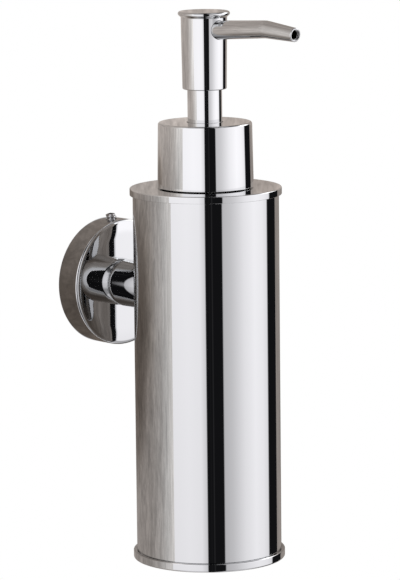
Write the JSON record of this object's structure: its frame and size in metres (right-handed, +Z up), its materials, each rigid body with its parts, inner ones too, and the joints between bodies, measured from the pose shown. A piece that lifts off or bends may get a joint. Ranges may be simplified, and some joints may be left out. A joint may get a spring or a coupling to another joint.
{
  "type": "wall-mounted soap dispenser",
  "caption": "Chrome wall-mounted soap dispenser: cylindrical vessel on a round arm and rosette, with a push-down swivelling pump head and a slender spout.",
  "frame": {"origin": "Centre of the wall plate's back face, on the wall.", "axes": "+Y goes into the wall along the arm's axis, +Z is up along the vessel, +X completes the frame."},
  "size_m": [0.0544, 0.1011, 0.1965],
  "materials": {
    "chrome": "polished chrome plating",
    "steel": "bright stainless steel",
    "zinc": "plain zinc-plated plate",
    "white_plastic": "moulded polypropylene",
    "liner_plastic": "blow-moulded polyethylene",
    "grey_plastic": "moulded polypropylene",
    "seal_rubber": "moulded rubber",
    "clear_tube": "extruded polyethylene"
  },
  "bodies": {
    "holder": {"wall_plate": "zinc", "rosette": "chrome", "arm": "chrome", "arm_bolt": "steel", "arm_saddle": "steel", "arm_washer": "steel", "arm_nut": "steel", "body_tube": "chrome", "base_cap": "chrome", "top_cap": "chrome", "liner_bottle": "liner_plastic"},
    "grub": {"grub_screw": "steel"},
    "pump_unit": {"neck_gasket": "seal_rubber", "pump_housing": "white_plastic", "stem_guide": "white_plastic", "spring_seat": "white_plastic", "dip_tube": "clear_tube"},
    "closure": {"collar_shell": "chrome", "closure_nut": "grey_plastic"},
    "plunger": {"piston": "white_plastic", "return_spring": "steel"},
    "actuator": {"stem": "white_plastic", "stem_sleeve": "chrome", "actuator_core": "white_plastic", "pump_head": "chrome", "spout": "chrome"},
    "inlet_valve": {"inlet_ball": "steel"},
    "outlet_valve": {"outlet_ball": "steel"}
  },
  "joints": [
    {"name": "closure_rise", "type": "slide", "parent": "holder", "child": "pump_unit", "axis": [0, 0, 1], "range_m": [0, 0.00634]},
    {"name": "closure_turn", "type": "hinge", "parent": "pump_unit", "child": "closure", "pos_m": [0, -0.0546, 0.05], "axis": [0, 0, 1], "range_deg": [0, 540]},
    {"name": "pump_press", "type": "slide", "parent": "pump_unit", "child": "plunger", "axis": [0, 0, -1], "range_m": [0, 0.0105], "stiffness_N_per_m": 600, "springref_m": -0.006, "deforming": ["return_spring"]},
    {"name": "head_swivel", "type": "hinge", "parent": "plunger", "child": "actuator", "pos_m": [0, -0.0546, 0.08], "axis": [0, 0, 1], "continuous": true},
    {"name": "inlet_ball_lift", "type": "slide", "parent": "pump_unit", "child": "inlet_valve", "axis": [0, 0, 1], "range_m": [0, 0.0015]},
    {"name": "outlet_ball_lift", "type": "slide", "parent": "actuator", "child": "outlet_valve", "axis": [0, 0, 1], "range_m": [0, 0.0012]},
    {"name": "grub_screw_drive", "type": "slide", "parent": "holder", "child": "grub", "axis": [0.0698, 0, -0.9976], "range_m": [0, 0.0018]}
  ],
  "couplings": [
    {"joint": "closure_turn", "follows": "closure_rise", "rad_per_m": 1485.4}
  ]
}
